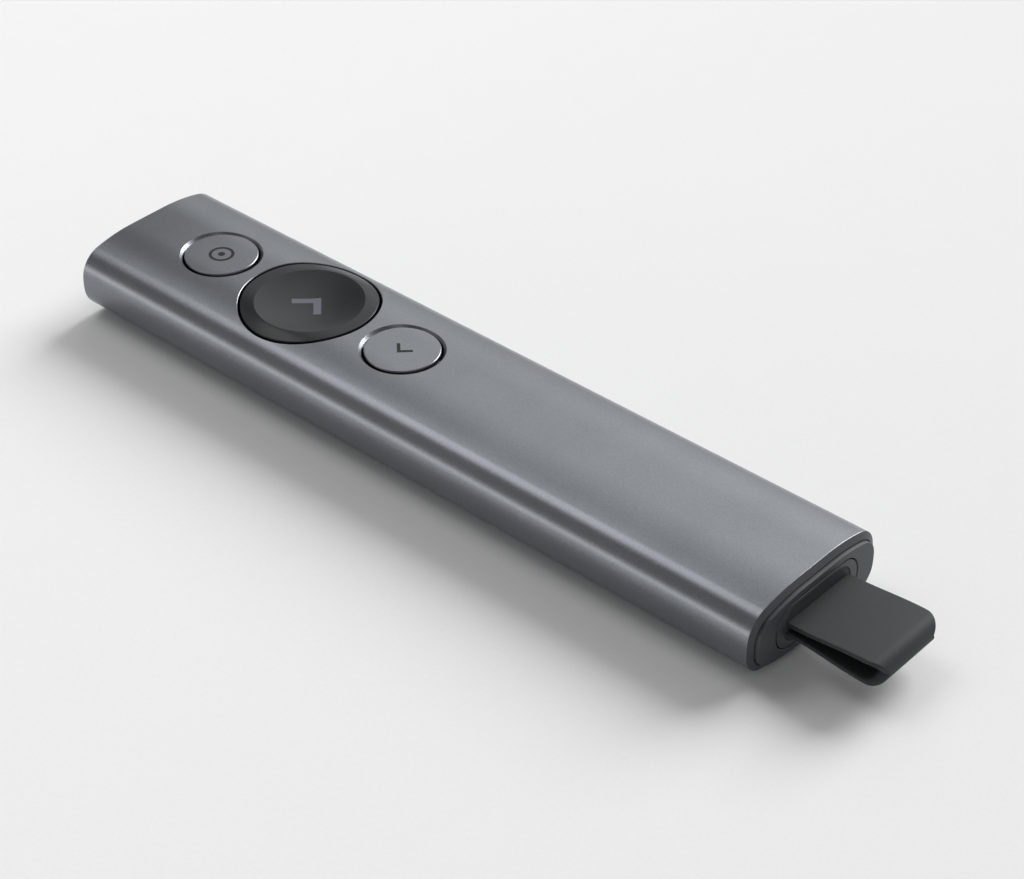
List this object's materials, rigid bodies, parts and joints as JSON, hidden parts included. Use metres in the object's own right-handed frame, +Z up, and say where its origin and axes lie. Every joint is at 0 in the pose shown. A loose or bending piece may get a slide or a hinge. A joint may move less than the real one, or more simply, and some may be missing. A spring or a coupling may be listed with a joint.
{
  "type": "wireless presentation clicker",
  "caption": "Slim hand-held presentation clicker: oval metal sleeve, round push buttons on top, and a plug-in radio receiver with a rubber pull strap stored in its rear end.",
  "frame": {"origin": "centre of the flat under the sleeve, at the middle of the sleeve's length", "axes": "+X along the length towards the receiver and its strap (the front that points at the screen is at -X), +Y to the far side, +Z up out of the button face"},
  "size_m": [0.1472, 0.0282, 0.0121],
  "materials": {
    "sleeve_metal": "bead blasted and anodised slate grey",
    "cap_metal": "bead blasted and anodised slate grey",
    "dark_cap_plastic": "satin moulded",
    "end_plastic": "satin moulded",
    "sign_dark": "satin inlay",
    "sign_light": "satin inlay",
    "strap_rubber": "matt silicone rubber",
    "carrier_plastic": "moulded",
    "board_laminate": "solder mask",
    "chip_resin": "moulded resin",
    "screw_steel": "zinc plated",
    "port_steel": "drawn stainless",
    "contact_gold": "gold flash",
    "cell_foil": "laminated foil",
    "lead_red": "insulation",
    "lead_black": "insulation",
    "motor_steel": "drawn steel can",
    "clear_plastic": "clear moulded"
  },
  "bodies": {
    "handset": {"housing_sleeve": "sleeve_metal", "front_cap": "end_plastic", "end_ring": "end_plastic", "end_cap": "end_plastic", "end_screws": "screw_steel", "lower_carrier": "carrier_plastic", "upper_frame": "carrier_plastic", "frame_screws": "screw_steel", "main_board": "board_laminate", "radio_chip": "chip_resin", "motion_sensor": "chip_resin", "crystal": "port_steel", "antenna": "chip_resin", "status_led": "clear_plastic", "status_light_pipe": "clear_plastic", "battery_cell": "cell_foil", "battery_lead_plus": "lead_red", "battery_lead_minus": "lead_black", "vibration_motor": "motor_steel", "charging_port_shell": "port_steel", "charging_port_tongue": "chip_resin", "pointer_switch": "carrier_plastic", "next_switch": "carrier_plastic", "back_switch": "carrier_plastic"},
    "pointer_button": {"pointer_button_cap": "cap_metal", "pointer_sign": "sign_dark", "pointer_switch_stem": "carrier_plastic"},
    "next_button": {"next_button_cap": "dark_cap_plastic", "next_sign": "sign_light", "next_switch_stem": "carrier_plastic"},
    "back_button": {"back_button_cap": "cap_metal", "back_sign": "sign_dark", "back_switch_stem": "carrier_plastic"},
    "receiver": {"receiver_housing": "end_plastic", "receiver_plug_shell": "port_steel", "receiver_tongue": "chip_resin", "receiver_contacts": "contact_gold", "receiver_board": "board_laminate", "receiver_chip": "chip_resin", "receiver_strap": "strap_rubber"}
  },
  "joints": [
    {"name": "pointer_button_press", "type": "slide", "parent": "handset", "child": "pointer_button", "axis": [0, 0, -1], "range_m": [0, 0.0003], "stiffness_N_per_m": 3000, "springref_m": -0.00015},
    {"name": "next_button_press", "type": "slide", "parent": "handset", "child": "next_button", "axis": [0, 0, -1], "range_m": [0, 0.0004], "stiffness_N_per_m": 3000, "springref_m": -0.00015},
    {"name": "back_button_press", "type": "slide", "parent": "handset", "child": "back_button", "axis": [0, 0, -1], "range_m": [0, 0.0003], "stiffness_N_per_m": 3000, "springref_m": -0.00015},
    {"name": "receiver_pull", "type": "slide", "parent": "handset", "child": "receiver", "axis": [1, 0, 0], "range_m": [0, 0.03]}
  ]
}
